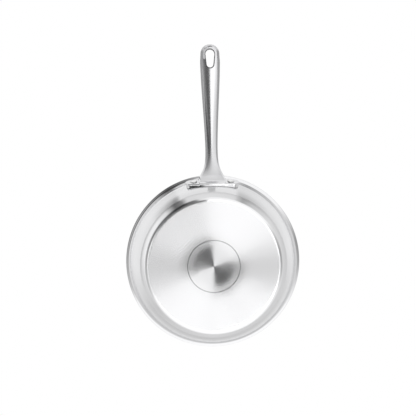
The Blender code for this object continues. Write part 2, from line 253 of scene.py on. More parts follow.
# Panels of each ring as (angle from +Y towards +X, brightness)
NEAR_PANELS = [
    (6, 0.3), (8, 1.0), (94, 1.0), (96, 0.05), (130, 0.06), (160, 0.13), (185, 0.2), (204, 0.26),
    (206, 1.0), (271, 1.0), (273, 0.05), (320, 0.08), (345, 0.24),
]
MIDDLE_PANELS = [
    (6, 0.9), (8, 1.4), (40, 1.2), (94, 1.25), (96, 1.25), (140, 1.15), (160, 0.68), (203, 0.78),
    (205, 1.3), (235, 1.35), (273, 1.55), (277, 3.7), (315, 3.5), (330, 2.5), (345, 1.3),
]
FAR_PANELS = [
    (6, 1.4), (8, 1.8), (40, 1.45), (94, 1.5), (96, 0.1), (140, 0.13), (160, 1.05), (203, 1.15),
    (205, 1.65), (235, 1.8), (273, 2.3), (277, 8.6), (315, 8.2), (330, 5.5), (345, 2.4),
]

# Studio above that: bands of such panels by height, from -1, straight down, to 1, straight up
LOWER_TOP = -0.9
BANDS = [
    (-0.84, [
        (5, 0.55), (11, 1.0), (46, 1.04), (86, 0.95), (100, 0.5), (108, 0.3), (127, 0.1), (137, 0.22),
        (150, 0.37), (165, 0.5), (197, 0.62), (224, 0.75), (249, 1.05), (296, 1.06), (319, 0.95),
        (345, 0.5),
    ]),
    (-0.74, [
        (0, 0.32), (15, 0.6), (30, 1.0), (92, 1.0), (101, 0.8), (105, 0.13), (120, 0.03), (135, 0.03),
        (150, 0.05), (165, 0.13), (180, 0.27), (195, 0.42), (210, 0.62), (222, 1.1), (318, 1.1),
        (330, 0.85), (345, 0.45),
    ]),
    (-0.5, [
        (0, 0.4), (15, 0.6), (30, 1.0), (45, 1.05), (92, 0.95), (102, 0.75), (107, 0.28), (118, 0.04),
        (129, 0.07), (139, 0.3), (150, 0.37), (180, 0.46), (210, 0.52), (225, 0.85), (240, 1.0),
        (270, 1.15), (300, 1.1), (330, 0.85), (345, 0.5),
    ]),
    (-0.2, [
        (0, 0.78), (30, 0.8), (50, 0.63), (60, 0.38), (65, 0.55), (68, 0.75), (113, 0.8), (118, 0.25),
        (126, 0.15), (136, 0.85), (150, 1.05), (180, 1.1), (205, 0.85), (225, 0.65), (240, 0.75),
        (270, 0.98), (300, 0.95), (330, 0.8),
    ]),
    (0.06, [
        (0, 0.6), (30, 0.6), (60, 0.28), (68, 0.6), (117, 0.6), (121, 0.08), (128, 0.12), (140, 0.37),
        (180, 0.45), (210, 0.65), (225, 0.6), (270, 0.72), (300, 0.68), (330, 0.66),
    ]),
    (0.25, [
        (0, 0.8), (35, 0.7), (55, 0.45), (65, 0.5), (67, 0.86), (120, 0.8), (122, 0.18), (135, 0.5),
        (150, 0.85), (195, 0.88), (225, 0.66), (270, 0.66), (300, 0.6), (330, 0.7),
    ]),
    (0.45, [
        (0, 0.85), (35, 0.8), (60, 0.62), (65, 0.65), (67, 0.88), (118, 0.88), (121, 0.3), (124, 0.35),
        (135, 0.65), (150, 0.88), (195, 0.88), (225, 0.64), (270, 0.63), (300, 0.6), (330, 0.71),
    ]),
    (0.62, [
        (0, 0.9), (35, 0.88), (60, 0.8), (65, 0.8), (67, 0.9), (120, 0.95), (122, 0.85), (150, 0.93),
        (195, 0.9), (225, 0.63), (270, 0.6), (330, 0.73),
    ]),
    (0.95, [(0, 0.97), (90, 0.85), (180, 0.95), (270, 0.8)]),
]


def direction(angle):
    """Unit vector of a profile at an angle above the horizontal."""
    return Vector((math.cos(angle), math.sin(angle)))


def shell_corners():
    """Middle line of the shell's sheet, from the axis to the rim, with sharp corners."""
    half = SHELL_SHEET / 2
    floor_height = CAP_SHEET + GAP + CORE_THICKNESS + GAP + half
    rim = Vector((RIM_RADIUS - half, PAN_HEIGHT - half))
    lip = rim - direction(LIP_ANGLE) * (LIP_WIDTH / math.cos(LIP_ANGLE))
    knee = Vector((lip.x - (lip.y - KNEE_HEIGHT) / math.tan(WALL_ANGLE), KNEE_HEIGHT))
    floor = Vector((knee.x - (knee.y - floor_height) / math.tan(LOWER_WALL_ANGLE), floor_height))
    return [Vector((0, floor_height)), floor, knee, lip, rim]


def shell_radius(height):
    """Radius of the wall's outer face at a height above its knee."""
    lip = shell_corners()[3]
    return lip.x - (lip.y - height) / math.tan(WALL_ANGLE) + SHELL_SHEET / 2 / math.sin(WALL_ANGLE)


def cap_corners():
    """Middle line of the cap's sheet, whose side ends where it touches the shell's floor bend."""
    floor = shell_corners()[1]
    bend_centre = floor + Vector((-FLOOR_BEND * math.tan(LOWER_WALL_ANGLE / 2), FLOOR_BEND))
    clear_radius = FLOOR_BEND + SHELL_SHEET / 2 + GAP + CAP_SHEET / 2
    corner = Vector((floor.x - CAP_INSET, CAP_SHEET / 2))
    to_centre = bend_centre - corner
    side_angle = math.atan2(to_centre.y, to_centre.x) - math.asin(clear_radius / to_centre.length)
    side_length = math.sqrt(to_centre.length_squared - clear_radius ** 2)
    return [Vector((0, CAP_SHEET / 2)), corner, corner + direction(side_angle) * side_length]


def parallel(corners, distance):
    """Line beside another one, on its left, with mitred corners."""
    runs = [(b - a).normalized() for a, b in zip(corners, corners[1:])]
    lefts = [Vector((-run.y, run.x)) for run in runs]
    moved = [corners[0] + lefts[0] * distance]
    for corner, before, after in zip(corners[1:], lefts, lefts[1:]):
        mitre = (before + after) / (1 + before.dot(after))
        moved.append(corner + mitre * distance)
    moved.append(corners[-1] + lefts[-1] * distance)
    return moved


def rounded(corners, radii):
    """Line with each inner corner replaced by an arc of its own radius."""
    line = [corners[0]]
    for before, corner, after, radius in zip(corners, corners[1:], corners[2:], radii):
        into = (corner - before).normalized()
        out = (after - corner).normalized()
        turn = into.angle_signed(out)
        reach = radius * math.tan(abs(turn) / 2)
        start = corner - into * reach
        side = Vector((into.y, -into.x)) * math.copysign(radius, turn)
        steps = max(2, math.ceil(abs(turn) / BEND_STEP))
        for step in range(steps + 1):
            swing = Matrix.Rotation(-turn * step / steps, 2)
            line.append(start + side - swing @ side)
    line.append(corners[-1])
    return line


def arc(centre, start, sweep, steps):
    """Points on an arc about a centre, after its start and up to its end."""
    spoke = start - centre
    return [centre + Matrix.Rotation(sweep * step / steps, 2) @ spoke for step in range(1, steps + 1)]


def sheet_outline(corners, radii, thickness):
    """Outline of a bent sheet with a round free edge: its under side, the edge, its upper side."""
    half = thickness / 2
    turns = [(b - a).angle_signed(c - b) for a, b, c in zip(corners, corners[1:], corners[2:])]
    under = [radius - math.copysign(half, turn) for radius, turn in zip(radii, turns)]
    over = [radius + math.copysign(half, turn) for radius, turn in zip(radii, turns)]
    lower = rounded(parallel(corners, -half), under)
    upper = rounded(parallel(corners, half), over)
    edge = arc(corners[-1], lower[-1], math.pi, EDGE_STEPS)[:-1]
    return lower + edge + upper[::-1]


def spread(line):
    """Line with its long runs divided, so that none is longer than LONGEST_RUN."""
    dense = [line[0]]
    for start, end in zip(line, line[1:]):
        parts = max(1, math.ceil((end - start).length / LONGEST_RUN))
        dense += [start.lerp(end, step / parts) for step in range(1, parts + 1)]
    return dense


def shade(mesh):
    """Shade a mesh smooth, apart from its sharp edges."""
    mesh.shade_smooth()
    mesh.set_sharp_from_angle(angle=SHARP_ANGLE)


def mesh_object(name, shape):
    """Object made from a closed shape, with faces out."""
    bmesh.ops.remove_doubles(shape, verts=shape.verts, dist=SAME_PLACE)
    bmesh.ops.recalc_face_normals(shape, faces=shape.faces)
    mesh = bpy.data.meshes.new(name)
    shape.to_mesh(mesh)
    shape.free()
    shade(mesh)
    made = bpy.data.objects.new(name, mesh)
    bpy.context.scene.collection.objects.link(made)
    return made


def turned(name, outline, steps):
    """Solid turned about Z from a profile that starts and ends on the axis."""
    shape = bmesh.new()
    angles = [math.tau * step / steps for step in range(steps)]
    rings = []
    for radius, height in outline:
        if radius < SAME_PLACE:
            rings.append([shape.verts.new((0, 0, height))] * steps)
        else:
            circle = [(radius * math.cos(angle), radius * math.sin(angle), height) for angle in angles]
            rings.append([shape.verts.new(point) for point in circle])
    for near, far in zip(rings, rings[1:]):
        for index in range(steps):
            after = (index + 1) % steps
            corners = [near[index], near[after], far[after], far[index]]
            corners = [corner for place, corner in enumerate(corners) if corner not in corners[:place]]
            shape.faces.new(corners)
    return mesh_object(name, shape)


def lofted(name, rings):
    """Solid through rings of equally many points, closed at both ends."""
    shape = bmesh.new()
    loops = [[shape.verts.new(point) for point in ring] for ring in rings]
    for near, far in zip(loops, loops[1:]):
        for index in range(len(near)):
            after = (index + 1) % len(near)
            shape.faces.new((near[index], near[after], far[after], far[index]))
    shape.faces.new(loops[0][::-1])
    shape.faces.new(loops[-1])
    return mesh_object(name, shape)


def combine(target, other, operation):
    """Join to a solid, or cut from it, the shape of another, and remove that one."""
    modifier = target.modifiers.new("combine", "BOOLEAN")
    modifier.operation = operation
    modifier.object = other
    bpy.context.view_layer.update()
    evaluated = target.evaluated_get(bpy.context.evaluated_depsgraph_get())
    mesh = bpy.data.meshes.new_from_object(evaluated)
    target.modifiers.clear()
    target.data = mesh
    shade(mesh)
    bpy.data.objects.remove(other)


def make_shell():
    """Shell: floor, wall with a soft knee and pouring lip."""
    outline = sheet_outline(shell_corners(), [FLOOR_BEND, KNEE_BEND, LIP_BEND], SHELL_SHEET)
    return turned("pan_shell", spread(outline), TURN_STEPS)


def make_base_plate():
    """Cap under the core, with a ring line turned into its flat face."""
    outline = sheet_outline(cap_corners(), [CAP_BEND], CAP_SHEET)
    first = outline.pop(0)
    inner, outer = RING_RADIUS - RING_WIDTH / 2, RING_RADIUS + RING_WIDTH / 2
    groove = [Vector((inner, 0)), Vector((RING_RADIUS, RING_DEPTH)), Vector((outer, 0))]
    outline = [first] + groove + outline
    return turned("base_plate", spread(outline), TURN_STEPS)


def bracket_top():
    """Height of the bracket's upper edge on the wall."""
    return shell_corners()[3].y - BRACKET_BELOW_LIP


def wall_rise(height):
    """How far the wall's outer face lies off its straight line: out in the roll, in at the knee."""
    half = SHELL_SHEET / 2
    roll_reach = LIP_BEND * math.tan((WALL_ANGLE - LIP_ANGLE) / 2)
    knee_reach = KNEE_BEND * math.tan((WALL_ANGLE - LOWER_WALL_ANGLE) / 2)
    roll_start = shell_corners()[3].y - roll_reach * math.sin(WALL_ANGLE) - half * math.cos(WALL_ANGLE)
    knee_start = KNEE_HEIGHT + knee_reach * math.sin(WALL_ANGLE) - half * math.cos(WALL_ANGLE)
    above = max(0, height - roll_start) / math.sin(WALL_ANGLE)
    below = max(0, knee_start - height) / math.sin(WALL_ANGLE)
    roll, knee = LIP_BEND - half, KNEE_BEND + half
    return roll - math.sqrt(roll ** 2 - above ** 2) - knee + math.sqrt(knee ** 2 - below ** 2)


def bracket_radius():
    """Radius of the wall's outer face at the bracket's middle height."""
    return shell_radius(bracket_top() - BRACKET_HEIGHT / 2 * math.sin(WALL_ANGLE))


def bracket_face(across):
    """Distance of the ears' outer face, flatter than the wall, from the wall's straight line."""
    return GAP + BRACKET_THICKNESS + across ** 2 / 2 * (1 / bracket_radius() - 1 / BRACKET_FACE_RADIUS)


def on_wall(across, down, outward):
    """Point by its arc length from the handle's plane, its way down the wall and its distance off it."""
    height = bracket_top() - down * math.sin(WALL_ANGLE)
    angle = across / bracket_radius()
    radius = shell_radius(height) + outward * math.sin(WALL_ANGLE)
    height -= outward * math.cos(WALL_ANGLE)
    return Vector((radius * math.cos(angle), radius * math.sin(angle), height))


def make_bracket():
    """Plate with two round ears, a boss between them and an arched lower edge, its edges rounded."""
    straight = BRACKET_LENGTH / 2 - BRACKET_END
    boss = ROOT_WIDTH / 2
    beside = straight - boss - BOSS_EDGE
    right = []
    for step in range(EAR_STEPS + 1):
        turn = EAR_START + (math.pi / 2 - EAR_START) * step / EAR_STEPS
        right.append((straight + BRACKET_END * math.cos(turn), BRACKET_END * (1 - math.sin(turn)), 0))
    for step in range(1, EAR_PLATE_STEPS + 1):
        right.append((straight - beside * step / EAR_PLATE_STEPS, 0, 0))
    right += [(boss * step / PLATE_STEPS, 0, BOSS_RISE) for step in range(PLATE_STEPS, 0, -1)]
    left = [(-across, trim, rise) for across, trim, rise in reversed(right)]
    rings = []
    for across, trim, rise in right + [(0, 0, BOSS_RISE)] + left:
        face = bracket_face(across) + rise
        bottom = BRACKET_HEIGHT - trim - BRACKET_ARCH * min(1, abs(across) / straight) ** 2
        middle, reach = (bottom + trim) / 2, (bottom - trim) / 2
        edge = min(BRACKET_ROUND, reach / 2)
        lean = min(BRACKET_LEAN * (face - GAP), reach / 2)
        corner = []
        for step in range(ROUND_STEPS + 1):
            turn = math.pi / 2 * step / ROUND_STEPS
            corner.append((reach - edge * (1 - math.cos(turn)), face - edge * (1 - math.sin(turn))))
        upper = [(-down, outward) for down, outward in reversed(corner)]
        lower = [(down - lean, outward) for down, outward in corner]
        start, span = lower[-1][0], upper[0][0] - lower[-1][0]
        flat = [(start + span * share, face) for share in FACE_SHARES]
        profile = lower + flat + upper
        for step in range(BACK_STEPS + 1):
            down = reach * (2 * step / BACK_STEPS - 1)
            height = bracket_top() - (middle + down) * math.sin(WALL_ANGLE)
            profile.append((down, GAP + wall_rise(height)))
        rings.append([on_wall(across, middle + down, outward) for down, outward in profile])
    return lofted("bracket", rings)


def between(start, end, share, ends_slope=0.5):
    """Value on an eased way from one to another, with less ease for a larger slope at its ends."""
    eased = share * share * (3 - 2 * share)
    return start + (end - start) * (eased + (share - eased) * ends_slope)


def handle_root():
    """Point in the middle of the bracket's thickness where the centre line starts."""
    point = on_wall(0, ROOT_BELOW_BRACKET_TOP, GAP + BRACKET_THICKNESS / 2)
    return Vector((point.x, point.z))


def centre_line(distance):
    """Height and slope of the handle's centre line at a distance from the pan's axis."""
    root = handle_root()
    tip_height = PAN_HEIGHT + HANDLE_RISE
    span = HANDLE_TIP - root.x
    share = (distance - root.x) / span
    rise = tip_height - root.y
    start, end = math.tan(ROOT_SLOPE) * span, math.tan(TIP_SLOPE) * span
    eased = share * share * (3 - 2 * share)
    height = root.y + rise * eased + start * share * (1 - share) ** 2 - end * share ** 2 * (1 - share)
    slope = rise * 6 * share * (1 - share) + start * (1 - share) * (1 - 3 * share)
    slope += end * share * (3 * share - 2)
    return height, slope / span


def along_handle(distance, root, neck, grip):
    """Size at a distance from the pan's axis, given at the root, the neck and the grip."""
    neck_at = RIM_RADIUS + NECK_FROM_RIM
    grip_at = HANDLE_TIP - GRIP_FROM_TIP
    root_at = handle_root().x
    if distance < neck_at:
        share = (neck_at - distance) / (neck_at - root_at)
        return neck + (root - neck) * share ** ROOT_FLARE
    return between(neck, grip, min(1, (distance - neck_at) / (grip_at - neck_at)))


def half_width(distance):
    """Half of the handle's width, with a round tip and a root as wide as the bracket's boss."""
    from_tip = HANDLE_TIP - distance
    radius = TIP_WIDTH / 2
    if from_tip < radius:
        return math.sqrt(max(0, radius ** 2 - (radius - from_tip) ** 2))
    if from_tip < GRIP_FROM_TIP:
        return between(TIP_WIDTH, GRIP_WIDTH, (from_tip - radius) / (GRIP_FROM_TIP - radius), 0) / 2
    return min(ROOT_WIDTH, along_handle(distance, FLARED_WIDTH, NECK_WIDTH, GRIP_WIDTH)) / 2


def gusset(distance):
    """How far the belly is drawn down the wall where the root spreads onto the bracket."""
    neck_at = RIM_RADIUS + NECK_FROM_RIM
    share = max(0, (neck_at - distance) / (neck_at - handle_root().x))
    return ROOT_GUSSET * share ** GUSSET_POWER


def handle_profile(distance):
    """Section across the handle: (across, up, drawn down the wall) of the points round it."""
    wide = half_width(distance)
    from_tip = HANDLE_TIP - distance
    thinning = TIP_THINNING * max(0, 1 - from_tip / GRIP_FROM_TIP)
    below = along_handle(distance, ROOT_BELOW, NECK_BELOW, GRIP_BELOW) - thinning
    above = along_handle(distance, ROOT_ABOVE, NECK_ABOVE, GRIP_ABOVE) - thinning
    below = min(below, from_tip * math.tan(STRIP_SLOPE))
    above = min(above, from_tip * math.tan(TOP_EDGE_SLOPE))
    strip = min(along_handle(distance, ROOT_STRIP, NECK_STRIP, GRIP_STRIP), wide * STRIP_WIDTH_LIMIT)
    drop = min(strip * math.tan(STRIP_SLOPE), below * STRIP_DEPTH_LIMIT)
    belly = wide - strip
    drawn = gusset(distance)
    profile = []
    for share in (step / STRIP_STEPS for step in range(STRIP_STEPS)):
        profile.append((wide - strip * share, -drop * share, drawn * share))
    right_strip = list(profile)
    for step in range(BELLY_STEPS + 1):
        share = math.cos(math.pi * step / BELLY_STEPS)
        profile.append((belly * share, -drop - (below - drop) * (1 - share ** 2), drawn))
    profile += [(-across, up, sunk) for across, up, sunk in reversed(right_strip)]
    for step in range(1, TOP_STEPS):
        angle = math.pi * step / TOP_STEPS
        profile.append((-wide * math.cos(angle), above * math.sin(angle) ** TOP_ROUNDNESS, 0))
    return profile


def handle_point(distance, across, up, drawn=0):
    """Point off the centre line, square to it, and drawn down along the wall."""
    height, slope = centre_line(distance)
    length = math.hypot(1, slope)
    forward = distance - up * slope / length - drawn * math.cos(WALL_ANGLE)
    return Vector((forward, across, height + up / length - drawn * math.sin(WALL_ANGLE)))


def root_point(across, up, drawn):
    """Point of the handle's root, in the middle of the bracket's thickness."""
    down = ROOT_BELOW_BRACKET_TOP - up / math.sin(WALL_ANGLE) + drawn
    return on_wall(across, down, GAP + BRACKET_THICKNESS / 2)


def make_handle():
    """Casting: grip and neck, joined to the bracket."""
    root_at = handle_root().x
    neck_at = RIM_RADIUS + NECK_FROM_RIM
    radius = TIP_WIDTH / 2
    face_at = root_at + BRACKET_THICKNESS / 2
    round_at = HANDLE_TIP - radius
    stations = []
    for step in range(FLARE_STEPS):
        stations.append(face_at + (neck_at - face_at) * (step / FLARE_STEPS) ** FLARE_CROWDING)
    stations += [neck_at + (round_at - neck_at) * step / GRIP_STEPS for step in range(GRIP_STEPS)]
    turns = [math.pi / 2 * step / TIP_STEPS for step in range(TIP_STEPS)]
    stations += [round_at + radius * math.sin(turn) for turn in turns]
    rings = [[root_point(*point) for point in handle_profile(root_at)]]
    for distance in stations:
        rings.append([handle_point(distance, *point) for point in handle_profile(distance)])
    made = lofted("handle_casting", rings)
    combine(made, make_bracket(), "UNION")
    return made


def egg(widen):
    """Outline of the hanging hole as (distance, across) points, its wide end towards the tip."""
    wide, narrow = HOLE_WIDTH / 2, HOLE_NARROW_WIDTH / 2
    wide_at = HANDLE_TIP - HOLE_FROM_TIP - wide
    narrow_at = HANDLE_TIP - HOLE_FROM_TIP - HOLE_LENGTH + narrow
    turn = math.pi / 2 + math.asin((wide - narrow) / (wide_at - narrow_at))
    points = []
    for centre, radius, first, last in (
        (wide_at, wide + widen, -turn, turn),
        (narrow_at, narrow + widen, turn, math.tau - turn),
    ):
        for step in range(EGG_STEPS + 1):
            angle = first + (last - first) * step / EGG_STEPS
            points.append((centre + radius * math.cos(angle), radius * math.sin(angle)))
    return points


def cut_hanging_hole(handle):
    """Hole through the grip's end, flared at both faces."""
    middle = HANDLE_TIP - HOLE_FROM_TIP - HOLE_LENGTH / 2
    profile = handle_profile(middle)
    below = min(up for across, up, drawn in profile)
    above = max(up for across, up, drawn in profile)
    corners = [
        Vector((below - HOLE_FLARE_DEPTH, 2 * HOLE_FLARE)), Vector((below + HOLE_FLARE_DEPTH, 0)),
        Vector((above - HOLE_FLARE_DEPTH, 0)), Vector((above + HOLE_FLARE_DEPTH, 2 * HOLE_FLARE)),
    ]
    levels = rounded(corners, [HOLE_ROUND, HOLE_ROUND])
    rings = []
    for up, widen in levels:
        rings.append([handle_point(distance, across, up) for distance, across in egg(widen)])
    combine(handle, lofted("hanging_hole", rings), "DIFFERENCE")


def rivet_place(side):
    """Frame on the wall's outer face at a rivet, its Z along the wall's normal."""
    across = side * (BRACKET_LENGTH / 2 - RIVET_FROM_BRACKET_END)
    origin = on_wall(across, RIVET_BELOW_BRACKET_TOP, 0)
    normal = (on_wall(across, RIVET_BELOW_BRACKET_TOP, 1) - origin).normalized()
    turn = Vector((0, 0, 1)).rotation_difference(normal)
    return Matrix.Translation(origin) @ turn.to_matrix().to_4x4()


def head_outline(seat, rise):
    """Domed head over its seat, from its rim to the axis; a negative rise points it inwards."""
    edge = math.copysign(RIVET_HEAD_EDGE, rise)
    points = [Vector((RIVET_HEAD_RADIUS, seat)), Vector((RIVET_HEAD_RADIUS, seat + edge))]
    for step in range(1, DOME_STEPS):
        angle = math.pi / 2 * step / DOME_STEPS
        height = seat + edge + (rise - edge) * math.sin(angle)
        points.append(Vector((RIVET_HEAD_RADIUS * math.cos(angle), height)))
    points.append(Vector((0, seat + rise)))
    return points


def outer_seat():
    """Distance from the wall to the outer heads' flat seats, level with the lowest of the ears' face."""
    across = BRACKET_LENGTH / 2 - RIVET_FROM_BRACKET_END
    return bracket_face(across - RIVET_HEAD_RADIUS - RIVET_SEAT_MARGIN)


def make_rivet(name, side, drilled):
    """Rivet through the wall and the bracket, with the hole for it in both and its head's seat."""
    inner_seat = -SHELL_SHEET - GAP
    seat = outer_seat()
    inner = head_outline(inner_seat, -RIVET_HEAD_RISE)
    outer = head_outline(seat + GAP, RIVET_HEAD_RISE)
    shank = [Vector((RIVET_SHANK_RADIUS, inner_seat)), Vector((RIVET_SHANK_RADIUS, seat + GAP))]
    made = turned(name, inner[::-1] + shank + outer, RIVET_STEPS)
    made.matrix_world = rivet_place(side)
    bore, wide = RIVET_SHANK_RADIUS + GAP, RIVET_HEAD_RADIUS + RIVET_SEAT_MARGIN
    low, high = inner_seat - RIVET_HEAD_RISE, seat + 2 * RIVET_HEAD_RISE
    outline = [(0, low), (bore, low), (bore, seat), (wide, seat), (wide, high), (0, high)]
    for target in drilled:
        drill = turned("drill", outline, RIVET_STEPS)
        drill.matrix_world = rivet_place(side)
        combine(target, drill, "DIFFERENCE")
    return made


class Nodes:
    """Short names for making the nodes of one material or world."""

    def __init__(self, owner):
        owner.use_nodes = True
        self.tree = owner.node_tree

    def add(self, kind, **settings):
        """New node with some of its settings changed."""
        node = self.tree.nodes.new(kind)
        for name, value in settings.items():
            setattr(node, name, value)
        return node

    def link(self, source, target):
        """Feed an input from an output, or set it to a plain value."""
        if isinstance(source, bpy.types.NodeSocket):
            self.tree.links.new(source, target)
        else:
            target.default_value = source

    def maths(self, operation, *values):
        """Result of one operation on numbers."""
        node = self.add("ShaderNodeMath", operation=operation)
        for value, socket in zip(values, node.inputs):
            self.link(value, socket)
        return node.outputs[0]

    def split(self, vector):
        """The three parts of a vector."""
        node = self.add("ShaderNodeSeparateXYZ")
        self.link(vector, node.inputs[0])
        return node.outputs

    def join(self, x, y, z):
        """Vector made of three parts."""
        node = self.add("ShaderNodeCombineXYZ")
        for value, socket in zip((x, y, z), node.inputs):
            self.link(value, socket)
        return node.outputs[0]

    def fade(self, value, low, high, start=0.0, end=1.0):
        """Number that goes smoothly from a start to an end as a value goes from low to high."""
        node = self.add("ShaderNodeMapRange", interpolation_type="SMOOTHSTEP")
        for source, socket in zip((value, low, high, start, end), node.inputs):
            self.link(source, socket)
        return node.outputs[0]

    def mix(self, share, first, second):
        """Number between two others."""
        node = self.add("ShaderNodeMix", data_type="FLOAT")
        sockets = (node.inputs["Factor"], node.inputs["A"], node.inputs["B"])
        for source, socket in zip((share, first, second), sockets):
            self.link(source, socket)
        return node.outputs[0]

    def noise(self, vector, density):
        """Smooth random number from 0 to 1 at a place."""
        node = self.add("ShaderNodeTexNoise")
        self.link(vector, node.inputs["Vector"])
        node.inputs["Scale"].default_value = density
        return node.outputs[0]

    def about_zero(self, number, spread_over):
        """Number from 0 to 1 moved to lie about 0 and spread over a width."""
        return self.maths("MULTIPLY", self.maths("SUBTRACT", number, 0.5), spread_over)

    def round_panels(self, angle, panels):
        """Brightness by an angle in degrees, from (angle, brightness) stops that close a circle."""
        node = self.add("ShaderNodeValToRGB")
        brightest = max(tone for place, tone in panels)
        stops = sorted(panels)
        first, last = stops[0], stops[-1]
        share = (360 - last[0]) / (360 - last[0] + first[0])
        seam = last[1] + (first[1] - last[1]) * share
        stops = [(0, seam)] * (first[0] > 0) + stops + [(360, seam)]
        elements = node.color_ramp.elements
        for index, (place, tone) in enumerate(stops):
            element = elements[index] if index < 2 else elements.new(place / 360)
            element.position = place / 360
            element.color = (tone / brightest,) * 3 + (1,)
        self.link(self.maths("DIVIDE", angle, 360.0), node.inputs[0])
        return self.maths("MULTIPLY", node.outputs[0], brightest)


def make_camera():
    """Camera under the floor, placed to match the photograph."""
    data = bpy.data.cameras.new("camera")
    data.lens = CAMERA_LENS
    data.sensor_width = CAMERA_SENSOR
    data.clip_end = CAMERA_REACH
    camera = bpy.data.objects.new("camera", data)
    bpy.context.scene.collection.objects.link(camera)
    back = -CAMERA_FORWARD.normalized()
    right = CAMERA_UP.cross(back).normalized()
    turn = Matrix((right, back.cross(right), back)).transposed()
    camera.matrix_world = Matrix.Translation(CAMERA_PLACE) @ turn.to_4x4()
    bpy.context.scene.camera = camera


def make_floor():
    """Pale floor that is clear from below."""
    shape = bmesh.new()
    bmesh.ops.create_grid(shape, x_segments=1, y_segments=1, size=FLOOR_SIDE / 2)
    mesh = bpy.data.meshes.new("floor")
    shape.to_mesh(mesh)
    shape.free()
    floor = bpy.data.objects.new("floor", mesh)
    floor.location.z = -FLOOR_BELOW
    bpy.context.scene.collection.objects.link(floor)
    material = bpy.data.materials.new("floor")
    nodes = Nodes(material)
    nodes.tree.nodes.clear()
    output = nodes.add("ShaderNodeOutputMaterial")
    pale = nodes.add("ShaderNodeBsdfDiffuse")
    pale.inputs["Color"].default_value = (*FLOOR_COLOUR, 1)
    clear = nodes.add("ShaderNodeBsdfTransparent")
    back = nodes.add("ShaderNodeNewGeometry").outputs["Backfacing"]
    passed = nodes.add("ShaderNodeLightPath").outputs["Transparent Depth"]
    from_below = nodes.maths("MAXIMUM", back, nodes.maths("GREATER_THAN", passed, 0.5))
    mix = nodes.add("ShaderNodeMixShader")
    nodes.link(from_below, mix.inputs[0])
    nodes.link(pale.outputs[0], mix.inputs[1])
    nodes.link(clear.outputs[0], mix.inputs[2])
    nodes.link(mix.outputs[0], output.inputs[0])
    mesh.materials.append(material)


def compass(nodes, top, right):
    """Angle in degrees of a flat direction, from +Y towards +X."""
    turn = nodes.maths("DEGREES", nodes.maths("ARCTAN2", top, right))
    return nodes.maths("MODULO", nodes.maths("ADD", turn, 360.0), 360.0)


def length(nodes, first, second):
    """Length of a flat vector."""
    squares = [nodes.maths("MULTIPLY", part, part) for part in (first, second)]
    return nodes.maths("SQRT", nodes.maths("ADD", *squares))


def make_studio():
    """White room of soft panels: rings round a point below, then bands; the camera sees plain white."""
    world = bpy.data.worlds.new("studio")
    bpy.context.scene.world = world
    nodes = Nodes(world)
    nodes.tree.nodes.clear()
    x, y, height = nodes.split(nodes.add("ShaderNodeTexCoord").outputs["Generated"])
    top, right = (nodes.maths("SUBTRACT", part, centre) for part, centre in zip((x, y), MEETING))
    turn = compass(nodes, top, right)
    away = length(nodes, top, right)
    studio = nodes.round_panels(turn, NEAR_PANELS)
    rings = ((NEAR_EDGE, MIDDLE_EDGE, MIDDLE_PANELS), (MIDDLE_EDGE, FAR_EDGE, FAR_PANELS))
    for start, end, panels in rings:
        studio = nodes.mix(nodes.fade(away, start, end), studio, nodes.round_panels(turn, panels))
    turn = compass(nodes, x, y)
    below = LOWER_TOP
    for middle, panels in BANDS:
        studio = nodes.mix(nodes.fade(height, below, middle), studio, nodes.round_panels(turn, panels))
        below = middle
    camera_ray = nodes.add("ShaderNodeLightPath").outputs["Is Camera Ray"]
    shown = nodes.mix(camera_ray, studio, 1.0)
    background = nodes.add("ShaderNodeBackground")
    nodes.link(nodes.join(shown, shown, shown), background.inputs["Color"])
    output = nodes.add("ShaderNodeOutputWorld")
    nodes.link(background.outputs[0], output.inputs[0])


def steel(name, colour, roughness, stretch=0.0):
    """Steel shader and its nodes, its highlights stretched across the tangent."""
    material = bpy.data.materials.new(name)
    nodes = Nodes(material)
    shader = nodes.tree.nodes["Principled BSDF"]
    shader.inputs["Base Color"].default_value = (*colour, 1)
    shader.inputs["Metallic"].default_value = 1
    shader.inputs["Roughness"].default_value = roughness
    shader.inputs["Anisotropic"].default_value = stretch
    shader.inputs["Anisotropic Rotation"].default_value = QUARTER_TURN
    return material, nodes, shader


def engrave(nodes, shader, lines, strength):
    """Brushed lines, as fine dents."""
    bump = nodes.add("ShaderNodeBump")
    bump.inputs["Strength"].default_value = strength
    bump.inputs["Distance"].default_value = LINE_DEPTH
    nodes.link(lines, bump.inputs["Height"])
    nodes.link(bump.outputs[0], shader.inputs["Normal"])


